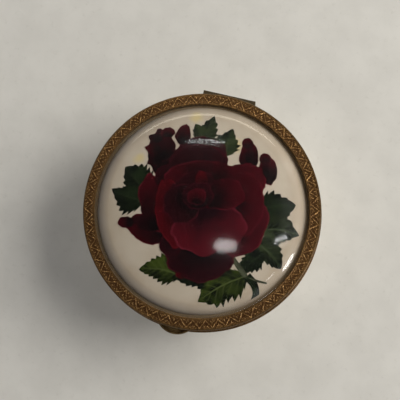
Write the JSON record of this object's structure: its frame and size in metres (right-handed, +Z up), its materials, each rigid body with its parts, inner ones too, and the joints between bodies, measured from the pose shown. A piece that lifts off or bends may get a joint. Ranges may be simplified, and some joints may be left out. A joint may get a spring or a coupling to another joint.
{
  "type": "trinket box",
  "caption": "Round porcelain trinket box with a chased brass rim and a hinged lid that shows a rose picture under a clear domed crystal.",
  "frame": {"origin": "centre of the foot ring, on the surface that the box stands on", "axes": "+Z up, +Y towards the hinge, -Y towards the thumb tab, lid closed at rest"},
  "size_m": [0.0694, 0.0707, 0.035],
  "materials": {
    "glazed_porcelain": "glossy cream-white glaze",
    "bedding_plaster": "matt plaster",
    "antique_brass": "antique gilt brass, dark in the recesses and polished on the high points",
    "dark_brass": "plain grey-brown patina",
    "steel_pin": "dull drawn wire",
    "inner_brass": "plain satin brass",
    "clear_crystal": "clear and polished",
    "painted_porcelain": "cream ground under a dark red rose with green leaves"
  },
  "bodies": {
    "base": {"base_bowl": "glazed_porcelain", "collar_bedding": "bedding_plaster", "base_collar": "antique_brass", "base_neck": "inner_brass", "catch_nib": "inner_brass", "hinge_leaf_base": "dark_brass", "hinge_pin": "steel_pin"},
    "lid": {"lid_rim": "antique_brass", "lid_crystal": "clear_crystal", "picture_plaque": "painted_porcelain", "lid_back_plate": "inner_brass", "retaining_ring": "inner_brass", "hinge_leaf_lid": "dark_brass", "thumb_tab": "dark_brass"}
  },
  "joints": [
    {"name": "lid_hinge", "type": "hinge", "parent": "base", "child": "lid", "pos_m": [0, 0.03355, 0.0223], "axis": [-1, 0, 0], "range_deg": [0, 100]}
  ]
}
